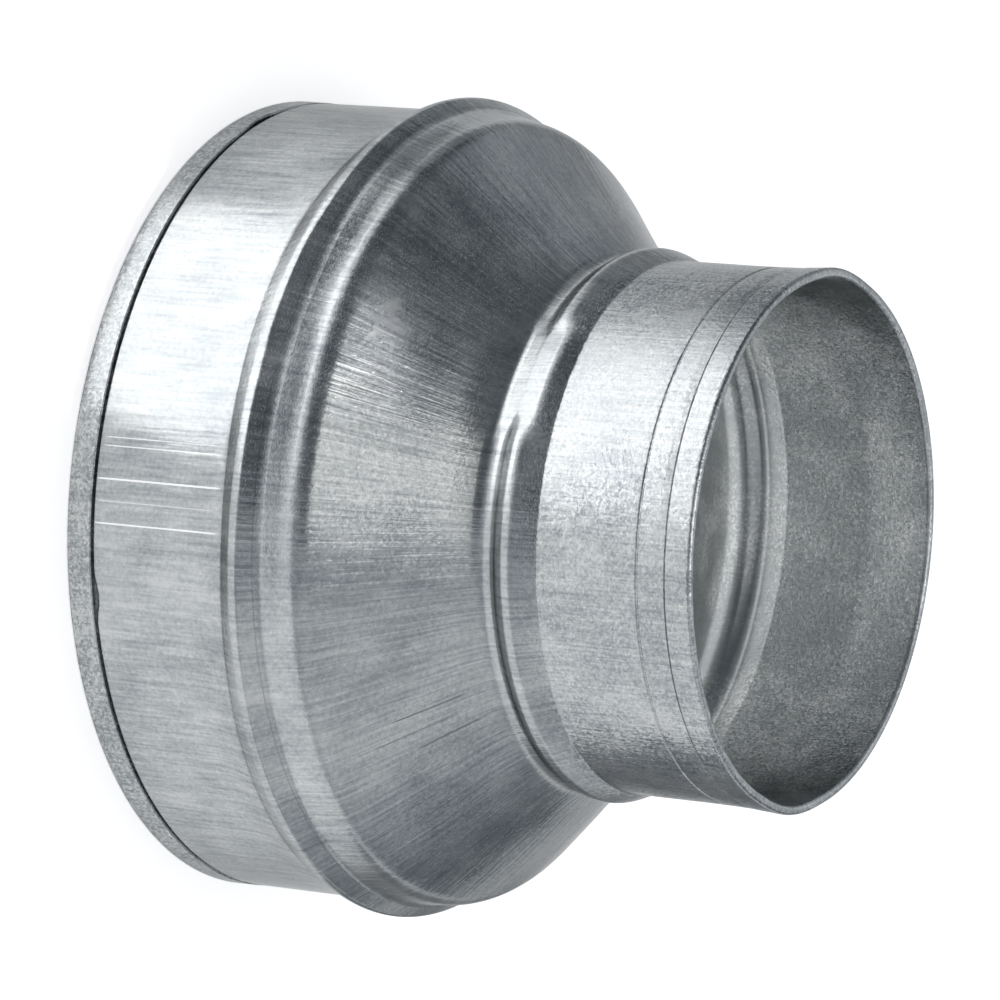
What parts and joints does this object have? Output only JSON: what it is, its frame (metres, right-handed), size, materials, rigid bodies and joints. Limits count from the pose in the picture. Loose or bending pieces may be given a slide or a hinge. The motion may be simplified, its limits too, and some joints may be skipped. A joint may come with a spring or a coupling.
{
  "type": "duct reducer",
  "caption": "Concentric round duct reducer in galvanised sheet steel: a large hemmed collar, stop beads and a cone down to a small hemmed collar, joining a wide duct to a narrow one.",
  "frame": {"origin": "centre of the large end's rim, on the plane that the rim stands on", "axes": "+Z along the duct's axis, from the large end up to the small end"},
  "size_m": [0.1542, 0.1542, 0.1139],
  "materials": {
    "galvanised_steel": "bright zinc coating, smooth, with fine rolling streaks along the sheet"
  },
  "bodies": {
    "root": {"reducer": "galvanised_steel"}
  },
  "joints": []
}
